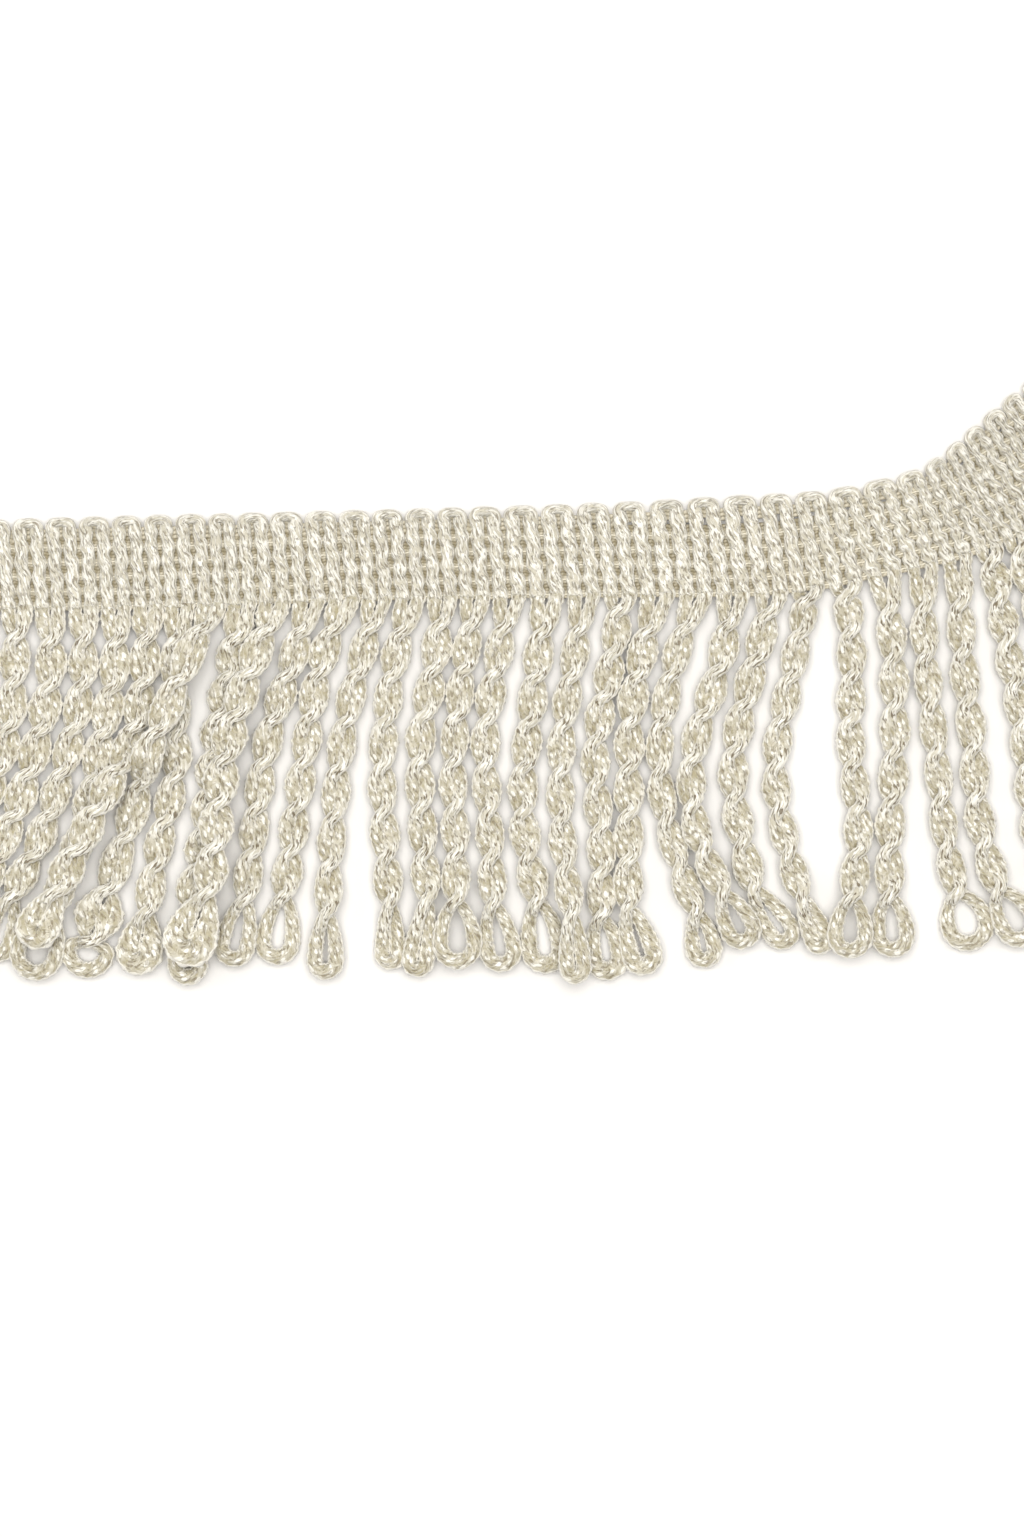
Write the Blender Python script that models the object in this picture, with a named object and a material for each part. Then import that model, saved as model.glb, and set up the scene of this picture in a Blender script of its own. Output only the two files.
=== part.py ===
"""A cut length of twisted fringe that lies flat, its heading bent upwards at one end.

One soft cord makes the whole of it. It runs up and down the heading as ribs, and between two ribs
it hangs down as a strand: two plies twisted round each other that end in an open loop.

Sizes are in millimetres, and MM turns them into metres. x runs along the heading, y points from
the skirt to the heading, and z points up from the surface on which the fringe lies.
"""
import math

import bpy
import numpy as np

MM = 0.001

# The cord and the strand that its two plies make
PLY_RADIUS = 1.0
STRAND_HALF_WIDTH = 1.8
LOOP_RADIUS = 0.7
QUARTER = math.pi / 2
TWIST_STEP = QUARTER / 2
LOOP_CLEARANCE = 0.35
BEND_STEPS = 4
CROTCH_SHARE = 0.35

# Steps at which the lines are sampled
LINE_SAMPLES = 200
RUN_REACH = 0.4
PLACE_STEP = 0.01

# The heading
HEADING_THICKNESS = 2.0
GROOVE_DEPTH = 0.8
EDGE_ROUNDING = 0.7
EDGE_REACH = 0.8
ARC_REACH = 2.0
SCALLOP_DEPTH = 2.0
STATIONS_PER_STRAND = 4

# The strip that carries the strands, and its clearance from the heading
STRIP_GAP = 0.35
STRIP_HEIGHT = 1.3
STRIP_THICKNESS = 2.0
ROOT_WIDTH = 2.6
ROOT_REACH = 0.8

# The heading's lower line and its upper line, at the same strands
HEADING_COLUMNS = ("low_x", "low_y", "high_x", "high_y")
HEADING = (
    (-79.8, -7.2, -80.8, 4.0),
    (-43.2, -6.9, -44.1, 5.0),
    (-21.8, -6.1, -22.8, 5.5),
    (-0.3, -5.7, -1.4, 6.1),
    (19.0, -5.5, 17.5, 6.8),
    (33.8, -5.2, 31.9, 7.6),
    (43.4, -3.9, 40.8, 8.2),
    (51.2, -2.2, 47.6, 9.5),
    (58.0, -0.7, 53.3, 11.3),
    (63.6, 1.4, 57.1, 14.0),
    (68.9, 3.8, 60.9, 17.3),
    (74.7, 6.9, 65.2, 20.9),
    (80.5, 10.0, 69.4, 24.3),
)

# Each strand's line: its x at the root, at three levels down the skirt and at the neck, where the
# twist ends and the loop opens. first_y is the middle of the first full bulge of the twist, and
# bulges counts from it to the neck.
LEVELS = (-16.0, -26.0, -36.0)
STRAND_COLUMNS = (
    "strand", "root_x", "x_16", "x_26", "x_36", "neck_x", "neck_y", "tip_x", "tip_y", "loop_width",
    "first_y", "bulges",
)
STRANDS = (
    (-1, -68.9, -69.4, -71.3, -74.6, -78.2, -44.9, -80.1, -53.3, 5.5, -8.6, 7),
    (0, -64.4, -64.7, -66.2, -70.0, -73.8, -45.0, -75.9, -53.5, 5.5, -8.0, 7),
    (1, -60.1, -60.1, -62.1, -65.5, -69.4, -45.0, -71.5, -53.6, 5.5, -8.7, 7),
    (2, -55.8, -55.8, -57.8, -60.9, -65.1, -44.7, -67.3, -53.3, 5.5, -8.6, 7),
    (3, -51.5, -51.8, -53.7, -55.9, -60.0, -46.6, -62.9, -55.6, 6.5, -8.7, 7),
    (4, -47.3, -47.9, -50.1, -55.0, -58.8, -43.9, -62.3, -51.8, 6.0, -8.3, 7),
    (5, -43.2, -43.9, -43.6, -45.4, -47.5, -46.7, -48.9, -55.0, 5.5, -8.5, 7),
    (6, -38.9, -42.8, -46.9, -49.7, -54.9, -49.2, -55.6, -55.2, 6.0, -11.7, 7),
    (7, -35.1, -37.2, -39.7, -40.8, -42.0, -45.9, -42.2, -56.3, 5.5, -12.0, 7),
    (8, -30.8, -33.5, -36.1, -37.4, -39.3, -44.1, -42.5, -53.9, 7.3, -11.3, 6),
    (9, -26.3, -29.2, -32.1, -33.5, -34.7, -45.0, -36.5, -53.9, 5.6, -11.5, 6),
    (10, -21.8, -25.2, -26.9, -28.4, -29.7, -44.7, -30.8, -53.7, 6.0, -11.2, 6),
    (11, -17.5, -20.2, -22.3, -23.3, -24.1, -46.8, -24.3, -55.6, 5.0, -11.2, 6),
    (12, -13.2, -15.6, -16.8, -16.6, -15.9, -45.5, -15.8, -54.4, 4.3, -11.5, 6),
    (13, -9.0, -10.4, -12.0, -11.6, -11.0, -45.0, -12.4, -55.3, 4.4, -10.7, 6),
    (14, -4.8, -6.4, -7.6, -7.4, -7.3, -45.2, -7.1, -54.2, 6.4, -10.7, 6),
    (15, -0.3, -2.3, -3.5, -2.9, -2.5, -45.6, -1.2, -54.6, 5.7, -11.2, 6),
    (16, 4.6, 3.1, 1.8, 1.6, 3.3, -45.2, 4.4, -54.8, 5.2, -11.7, 6),
    (17, 9.4, 7.7, 6.4, 6.5, 7.7, -46.9, 8.3, -56.1, 4.4, -11.5, 6),
    (18, 14.1, 12.6, 10.8, 11.5, 11.5, -47.3, 12.6, -55.7, 4.4, -14.2, 6),
    (19, 19.0, 16.3, 15.2, 15.2, 15.0, -45.9, 17.4, -55.0, 5.6, -11.5, 6),
    (20, 24.0, 20.7, 19.2, 20.4, 24.0, -46.7, 25.3, -54.1, 5.0, -11.2, 6),
    (21, 28.8, 26.6, 23.6, 24.0, 27.3, -44.2, 30.5, -51.5, 5.7, -10.7, 6),
    (22, 33.8, 31.2, 28.9, 29.6, 31.3, -43.7, 35.9, -51.5, 5.7, -9.3, 6),
    (23, 38.6, 36.3, 34.4, 35.2, 37.6, -44.6, 40.4, -52.3, 5.0, -11.7, 6),
    (24, 43.4, 44.2, 44.1, 45.1, 44.1, -44.7, 43.8, -52.8, 6.5, -11.5, 6),
    (25, 48.5, 49.7, 49.7, 49.2, 49.0, -44.5, 49.7, -52.7, 6.0, -9.0, 6),
    (26, 53.5, 54.0, 55.2, 56.2, 57.9, -44.3, 60.1, -51.8, 7.2, -8.7, 6),
    (27, 58.0, 58.9, 60.0, 61.0, 63.2, -43.9, 67.0, -51.1, 6.5, -8.2, 6),
    (28, 62.1, 65.2, 66.8, 68.1, 70.2, -43.9, 73.0, -51.2, 6.0, -7.2, 7),
    (29, 65.5, 70.2, 72.0, 73.5, 75.6, -43.7, 78.0, -51.1, 5.7, -6.1, 7),
    (30, 68.9, 74.7, 76.9, 78.9, 81.3, -43.6, 83.8, -51.1, 5.7, -4.8, 7),
    (31, 72.2, 79.0, 81.6, 83.9, 86.7, -43.5, 89.4, -50.9, 5.5, -3.3, 7),
    (32, 75.6, 83.4, 86.3, 89.0, 92.1, -43.3, 95.0, -50.6, 5.7, -1.7, 7),
    (33, 78.9, 87.7, 91.0, 94.1, 97.5, -42.9, 100.6, -50.0, 5.5, 0.1, 7),
)

# Where a strand climbs over its neighbour: by how much, and from which y down to which y
RAMP = 5.0
LIFT_COLUMNS = ("strand", "height", "from_y", "to_y")
LIFTS = (
    (4, 4.2, -30.0, -70.0),
    (6, 4.2, -13.0, -26.0),
    (8, 0.9, -14.0, -70.0),
    (8, 3.5, -37.0, -70.0),
    (21, 1.2, -29.0, -46.0),
    (24, 2.3, -46.0, -70.0),
)


def spline(at, values, where):
    """A natural cubic curve through the values given at the rising places at, read at where."""
    at = np.asarray(at, float)
    values = np.asarray(values, float)
    step = np.diff(at)
    count = len(at)
    system = np.eye(count)
    right = np.zeros(count)
    for i in range(1, count - 1):
        system[i, i - 1:i + 2] = step[i - 1], 2 * (step[i - 1] + step[i]), step[i]
        right[i] = 6 * ((values[i + 1] - values[i]) / step[i] - (values[i] - values[i - 1]) / step[i - 1])
    bend = np.linalg.solve(system, right)
    i = np.clip(np.searchsorted(at, where) - 1, 0, count - 2)
    past = where - at[i]
    left = at[i + 1] - where
    cubic = (bend[i] * left**3 + bend[i + 1] * past**3) / (6 * step[i])
    start = (values[i] / step[i] - bend[i] * step[i] / 6) * left
    end = (values[i + 1] / step[i] - bend[i + 1] * step[i] / 6) * past
    return cubic + start + end


def smooth_step(t):
    """0 below 0, 1 above 1 and a soft ramp between them."""
    t = np.clip(t, 0.0, 1.0)
    return t * t * (3 - 2 * t)


def rows(columns, table):
    """The table's rows, each as a dictionary with the columns' names."""
    return [dict(zip(columns, row)) for row in table]


def heading_line(low_x, column):
    """One of the heading's columns at the places low_x along its lower line."""
    stations = rows(HEADING_COLUMNS, HEADING)
    return spline([s["low_x"] for s in stations], [s[column] for s in stations], low_x)


class Loft:
    """Points and faces of one solid that is built up from closed sections."""

    def __init__(self):
        self.points = []
        self.faces = []

    def section(self, points):
        """Add a section's points, and return their numbers in order."""
        first = len(self.points)
        self.points.extend(tuple(float(c) * MM for c in point) for point in points)
        return list(range(first, len(self.points)))

    def skin(self, one, two):
        """Join two sections of the same number of points, side by side."""
        for i in range(len(one)):
            j = (i + 1) % len(one)
            self.faces.append((one[i], one[j], two[j], two[i]))

    def build(self, name, colour, collection):
        """Make the mesh object, with its faces pointing outwards and its own material."""
        mesh = bpy.data.meshes.new(name)
        mesh.from_pydata(self.points, [], self.faces)
        mesh.validate()
        mesh.update()
        obj = bpy.data.objects.new(name, mesh)
        collection.objects.link(obj)
        obj.data.materials.append(fabric(name, colour))
        return obj


def fabric(name, colour):
    """A soft, slightly shiny yarn material."""
    material = bpy.data.materials.new(name)
    material.use_nodes = True
    shader = material.node_tree.nodes["Principled BSDF"]
    shader.inputs["Base Color"].default_value = (*colour, 1.0)
    shader.inputs["Roughness"].default_value = 0.55
    shader.inputs["Metallic"].default_value = 0.0
    return material


def heading_section(strand_place, low_x):
    """One section across the heading, from its upper edge over the top to its lower edge.

    strand_place counts strands: whole numbers lie between a strand's two ribs, and halves between
    two strands, where the cord turns over the top edge in an arc.
    """
    low = np.array([low_x, heading_line(low_x, "low_y")])
    high = np.array([heading_line(low_x, "high_x"), heading_line(low_x, "high_y")])
    length = np.linalg.norm(high - low)
    along = (high - low) / length
    rib = math.sin(2 * math.pi * strand_place)**2
    arc = math.sin(math.pi * strand_place)**2
    high = high - along * SCALLOP_DEPTH * (1 - arc)**2
    length = np.linalg.norm(high - low)
    groove = HEADING_THICKNESS - GROOVE_DEPTH * (1 - rib)
    turn = HEADING_THICKNESS - GROOVE_DEPTH * (1 - max(rib, arc))
    profile = (
        (length, turn - EDGE_ROUNDING),
        (length - EDGE_REACH, turn),
        (length - ARC_REACH, groove),
        (EDGE_REACH, groove),
        (0.0, groove - EDGE_ROUNDING),
    )
    top = [(*(low + along * y), z) for y, z in profile]
    return [(*high, 0.0), *top, (*low, 0.0)]


def make_heading(collection):
    """The flat-backed band of ribs with its scalloped upper edge."""
    loft = Loft()
    strands = rows(STRAND_COLUMNS, STRANDS)
    numbers = [s["strand"] for s in strands]
    roots = [s["root_x"] for s in strands]
    places = np.arange(numbers[0] - 0.5, numbers[-1] + 0.5 + 1e-6, 1 / STATIONS_PER_STRAND)
    sections = []
    for place in places:
        low_x = float(spline(numbers, roots, place))
        sections.append(loft.section(heading_section(place, low_x)))
    for one, two in zip(sections, sections[1:]):
        loft.skin(one, two)
    loft.faces.append(tuple(reversed(sections[0])))
    loft.faces.append(tuple(sections[-1]))
    return loft.build("heading", (0.78, 0.73, 0.59), collection)


def lift_at(strand, y):
    """How far the strand is lifted at y, where it climbs over its neighbour."""
    height = 0.0
    for lift in rows(LIFT_COLUMNS, LIFTS):
        if lift["strand"] == strand:
            up = smooth_step((lift["from_y"] + RAMP - y) / RAMP)
            down = smooth_step((y - lift["to_y"] + RAMP) / RAMP)
            height += lift["height"] * up * down
    return height


def twist_line(row, start_y):
    """Closely spaced points of the strand's centreline from start_y to the neck, and their lengths."""
    levels = [row["neck_y"], *reversed(LEVELS), start_y]
    across = [row["neck_x"], row["x_36"], row["x_26"], row["x_16"], row["root_x"]]
    y = np.linspace(start_y, row["neck_y"], LINE_SAMPLES)
    x = spline(levels, across, y)
    length = np.concatenate([[0.0], np.cumsum(np.hypot(np.diff(x), np.diff(y)))])
    return x, y, length


def twisted_ring(centre, across, phase):
    """A ring of four points round the centre: the two plies' outer ridges and the dips between them."""
    ring = []
    for i in range(4):
        reach = STRAND_HALF_WIDTH if i % 2 == 0 else PLY_RADIUS
        angle = phase + i * QUARTER
        side = reach * math.cos(angle)
        ring.append((
            centre[0] + side * across[0],
            centre[1] + side * across[1],
            centre[2] + reach * math.sin(angle),
        ))
    return ring


def loop_shape(row):
    """The loop's axis direction, its length and the radius of its round end."""
    axis = np.array([row["tip_x"] - row["neck_x"], row["tip_y"] + LOOP_RADIUS - row["neck_y"]])
    length = float(np.linalg.norm(axis))
    return axis / length, length, row["loop_width"] / 2 - LOOP_RADIUS


def loop_middle(row):
    """The middle of the loop's round end."""
    axis, length, radius = loop_shape(row)
    return np.array([row["neck_x"], row["neck_y"]]) + axis * (length - radius)


def beside_axis(row, step):
    """How far a step in the plane goes beside the loop's axis."""
    axis = loop_shape(row)[0]
    return axis[0] * step[1] - axis[1] * step[0]


def make_room(strands):
    """Narrow the loops that lie side by side until they clear each other."""
    for row in strands:
        row["loop_width"] -= 2 * (PLY_RADIUS - LOOP_RADIUS)
    for one, two in zip(strands, strands[1:]):
        over = abs(lift_at(two["strand"], two["tip_y"]) - lift_at(one["strand"], one["tip_y"]))
        if over > PLY_RADIUS:
            continue
        between = loop_middle(two) - loop_middle(one)
        spacing = min(abs(beside_axis(row, between)) for row in (one, two))
        excess = (one["loop_width"] + two["loop_width"]) / 2 + LOOP_CLEARANCE - spacing
        if excess > 0:
            one["loop_width"] -= excess
            two["loop_width"] -= excess


def loop_point(length, radius, place):
    """The distances along and beside the axis of a place on the loop.

    place runs from 0 at the neck to 3, back at the neck. The first arm is a quarter of a sine wave,
    the bend from 1 to 2 is a half circle, and the second arm mirrors the first.
    """
    if place > 1.5:
        along, beside = loop_point(length, radius, 3 - place)
        return along, -beside
    if place > 1:
        turn = (place - 1) * math.pi
        return length - radius + radius * math.sin(turn), radius * math.cos(turn)
    return (length - radius) * place, radius * math.sin(place * QUARTER)


def loop_direction(length, radius, place):
    """The loop's direction at a place, along and beside its axis."""
    after = loop_point(length, radius, place + PLACE_STEP)
    before = loop_point(length, radius, place - PLACE_STEP)
    run = np.subtract(after, before)
    return run / np.linalg.norm(run)


def parting_place(radius):
    """The place where the two arms, still side by side, start to part."""
    return math.asin(min(LOOP_RADIUS / radius, 1.0)) / QUARTER


def upright(ring, quarter_turns):
    """The ring's points in the order right, top, left, bottom, after whole quarter turns."""
    return [ring[(i - quarter_turns) % 4] for i in range(4)]


def parting_faces(side, top, bottom, crotch, arm):
    """The faces between one half of the last ring of the twist and the first ring of an arm."""
    outer, upper, inner, lower = arm
    return [
        (top, crotch, inner, upper),
        (bottom, lower, inner, crotch),
        (side, top, upper, outer),
        (side, outer, lower, bottom),
    ]


def add_loop(loft, row, last_ring):
    """The open loop: two arms that leave the last ring, and a bend that joins them."""
    right, top, left, bottom = last_ring
    axis, length, radius = loop_shape(row)
    across = np.array([-axis[1], axis[0]])
    neck = np.array([row["neck_x"], row["neck_y"]])
    parting = parting_place(radius)
    first = (parting + 1) / 2
    arms = []
    for place in (first, *np.linspace(1, 2, BEND_STEPS + 1), 3 - first):
        along, beside = loop_point(length, radius, place)
        ahead = loop_direction(length, radius, place)
        out = across * ahead[0] - axis * ahead[1]
        middle = neck + axis * along + across * beside
        height = LOOP_RADIUS + lift_at(row["strand"], middle[1])
        arms.append(loft.section([
            (*(middle + out * LOOP_RADIUS), height),
            (*middle, height + LOOP_RADIUS),
            (*(middle - out * LOOP_RADIUS), height),
            (*middle, height - LOOP_RADIUS),
        ]))
    crotch_place = parting + CROTCH_SHARE * (first - parting)
    crotch_at = neck + axis * loop_point(length, radius, crotch_place)[0]
    crotch = loft.section([(*crotch_at, LOOP_RADIUS + lift_at(row["strand"], crotch_at[1]))])[0]
    for one, two in zip(arms, arms[1:]):
        loft.skin(one, two)
    loft.faces.extend(parting_faces(right, top, bottom, crotch, arms[0]))
    mirrored = parting_faces(left, top, bottom, crotch, arms[-1])
    loft.faces.extend(tuple(reversed(face)) for face in mirrored)


def add_strand(loft, row, cell, cell_y):
    """One strand: a collar at its root, the twist down to the neck, and the loop."""
    x, y, length = twist_line(row, cell_y)
    first = np.interp(-row["first_y"], -y, length)
    half_turn = (length[-1] - first) / (row["bulges"] - 0.5)
    quarters = math.ceil((ROOT_REACH - first) / (half_turn / 2))
    phase = quarters * QUARTER
    neck_phase = (row["bulges"] - 0.5) * math.pi
    rings = []
    while phase < neck_phase + 1e-6:
        place = first + phase / math.pi * half_turn
        centre = [np.interp(place, length, x), np.interp(place, length, y)]
        ahead = [np.interp(place + RUN_REACH, length, x), np.interp(place + RUN_REACH, length, y)]
        behind = [np.interp(place - RUN_REACH, length, x), np.interp(place - RUN_REACH, length, y)]
        run = np.subtract(ahead, behind)
        run = run / np.linalg.norm(run)
        height = STRAND_HALF_WIDTH + lift_at(row["strand"], centre[1])
        rings.append(loft.section(twisted_ring((*centre, height), (-run[1], run[0]), phase)))
        phase += TWIST_STEP
    axis, loop_length, radius = loop_shape(row)
    parting = loop_point(loop_length, radius, parting_place(radius))[0]
    for share in (0.5, 1.0):
        centre = np.array([row["neck_x"], row["neck_y"]]) + axis * parting * share
        resting = STRAND_HALF_WIDTH + (PLY_RADIUS - STRAND_HALF_WIDTH) * share**2
        height = resting + lift_at(row["strand"], centre[1])
        ring_phase = neck_phase + share * QUARTER
        rings.append(loft.section(twisted_ring((*centre, height), (-axis[1], axis[0]), ring_phase)))
    for one, two in zip(rings, rings[1:]):
        loft.skin(one, two)
    low_left, low_right, high_right, high_left = cell
    right, top, left, bottom = upright(rings[0], quarters)
    for corner, following, point, next_point in (
        (low_left, low_right, bottom, right),
        (low_right, high_right, right, top),
        (high_right, high_left, top, left),
        (high_left, low_left, left, bottom),
    ):
        loft.faces.append((corner, following, point))
        loft.faces.append((following, next_point, point))
    add_loop(loft, row, upright(rings[-1], 2 * row["bulges"]))


def make_skirt(collection):
    """The narrow strip under the heading, with every strand fused to it."""
    loft = Loft()
    strands = rows(STRAND_COLUMNS, STRANDS)
    make_room(strands)
    sections = []
    fronts = []
    for row in strands:
        for side in (-0.5, 0.5):
            x = row["root_x"] + side * ROOT_WIDTH
            back = float(heading_line(x, "low_y")) - STRIP_GAP
            front = back - STRIP_HEIGHT
            fronts.append(front)
            sections.append(loft.section([
                (x, back, 0.0), (x, back, STRIP_THICKNESS), (x, front, STRIP_THICKNESS), (x, front, 0.0),
            ]))
    for i, (one, two) in enumerate(zip(sections, sections[1:])):
        loft.faces.append((one[0], one[1], two[1], two[0]))
        loft.faces.append((one[1], one[2], two[2], two[1]))
        loft.faces.append((one[3], one[0], two[0], two[3]))
        if i % 2 == 1:
            loft.faces.append((one[2], one[3], two[3], two[2]))
    loft.faces.append(tuple(reversed(sections[0])))
    loft.faces.append(tuple(sections[-1]))
    for i, row in enumerate(strands):
        one = sections[2 * i]
        two = sections[2 * i + 1]
        cell_y = (fronts[2 * i] + fronts[2 * i + 1]) / 2
        add_strand(loft, row, (one[3], two[3], two[2], one[2]), cell_y)
    return loft.build("skirt", (0.82, 0.78, 0.65), collection)


def main():
    for obj in list(bpy.data.objects):
        bpy.data.objects.remove(obj, do_unlink=True)
    collection = bpy.data.collections.new("twisted_fringe")
    bpy.context.scene.collection.children.link(collection)
    make_heading(collection)
    make_skirt(collection)


main()
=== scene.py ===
# %% [markdown]
# # A length of twisted fringe
# Twisted fringe is a trimming that is sewn along the edge of a cushion or a curtain. One soft cord
# makes nearly all of it: the cord runs up and down the heading as ribs, and between two ribs it
# hangs down as a strand, whose two plies twist round each other and end in a loop.
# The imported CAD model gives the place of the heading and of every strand. This file dresses it:
# it works out the whole cord as one line, and wraps a knitted surface round that line.

import bpy
import numpy as np
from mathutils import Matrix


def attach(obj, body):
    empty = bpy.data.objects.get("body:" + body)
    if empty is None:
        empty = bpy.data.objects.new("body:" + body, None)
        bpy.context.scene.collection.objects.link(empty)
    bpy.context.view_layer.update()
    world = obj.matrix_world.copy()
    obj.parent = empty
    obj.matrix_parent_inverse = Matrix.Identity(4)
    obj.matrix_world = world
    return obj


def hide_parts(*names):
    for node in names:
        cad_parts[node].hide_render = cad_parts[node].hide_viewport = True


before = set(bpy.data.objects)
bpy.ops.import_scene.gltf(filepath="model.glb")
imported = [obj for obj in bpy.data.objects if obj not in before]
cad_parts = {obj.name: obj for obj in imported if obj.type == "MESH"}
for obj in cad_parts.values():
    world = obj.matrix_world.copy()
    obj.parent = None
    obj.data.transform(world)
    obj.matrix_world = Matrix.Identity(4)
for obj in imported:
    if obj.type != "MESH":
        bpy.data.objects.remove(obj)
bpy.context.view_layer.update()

# %% [markdown]
# ## The sizes of the trim
# All is worked out in millimetres, and the last step before a mesh multiplies by MM. Soft cord has
# no one thickness: it puffs out in a bulge, is drawn thin in a crossing, and is pressed flat in the
# heading. So each state has a half width, WIDE, and a half thickness, TALL. A ply's middle goes
# PLY_BESIDE to each side of its strand's line, and PLY_ABOVE above and below it.

# %% Name the driving sizes
MM = 0.001
BULGE_WIDE = 1.14
BULGE_TALL = 0.88
CROSSING_WIDE = 0.8
CROSSING_TALL = 0.72
LOOP_WIDE = 1.1
LOOP_TALL = 0.88
RIB_TALL = 0.8
PLY_BESIDE = 0.84
PLY_ABOVE = 0.72
print("a strand is", round(2 * (BULGE_WIDE + PLY_BESIDE), 2), "mm wide at its bulges")

# %% [markdown]
# ## Where the heading runs
# The heading lies nearly straight and bends upwards at one end. A few points along its lower edge and
# its scalloped upper edge fix that bend, and a smooth curve runs through them.
# A natural cubic spline is chosen because it passes through each point without corners.

# %% The heading's two edges
HEADING_COLUMNS = ("low_x", "low_y", "high_x", "high_y")
HEADING = (
    (-79.8, -7.2, -80.8, 4.0),
    (-43.2, -6.9, -44.1, 5.0),
    (-21.8, -6.1, -22.8, 5.5),
    (-0.3, -5.7, -1.4, 6.1),
    (19.0, -5.5, 17.5, 6.8),
    (33.8, -5.2, 31.9, 7.6),
    (43.4, -3.9, 40.8, 8.2),
    (51.2, -2.2, 47.6, 9.5),
    (58.0, -0.7, 53.3, 11.3),
    (63.6, 1.4, 57.1, 14.0),
    (68.9, 3.8, 60.9, 17.3),
    (74.7, 6.9, 65.2, 20.9),
    (80.5, 10.0, 69.4, 24.3),
)
edges = dict(zip(HEADING_COLUMNS, np.array(HEADING).T))
print("the heading's edges have", len(HEADING), "points each")

# %% [markdown]
# ## Where each strand hangs
# No two strands lie alike: some lean, and some cross a neighbour. A row for each strand gives its x
# at the heading and at three levels, the neck where its loop opens, the loop's tip and width, its
# first bulge and the number of bulges. The CAD solids come from the same rows, but for a few cells
# that are nearer to the photograph here. Strand -1 and those past 29 lie outside the photograph.
# A row of LIFTS is a climb: how much higher a strand lies, from one y down to another. A row of
# BLOOMS is a place where the plies lie wider apart (beside), are wider (wide), or cross with less
# haste (calm), for reach millimetres up and down.

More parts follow.
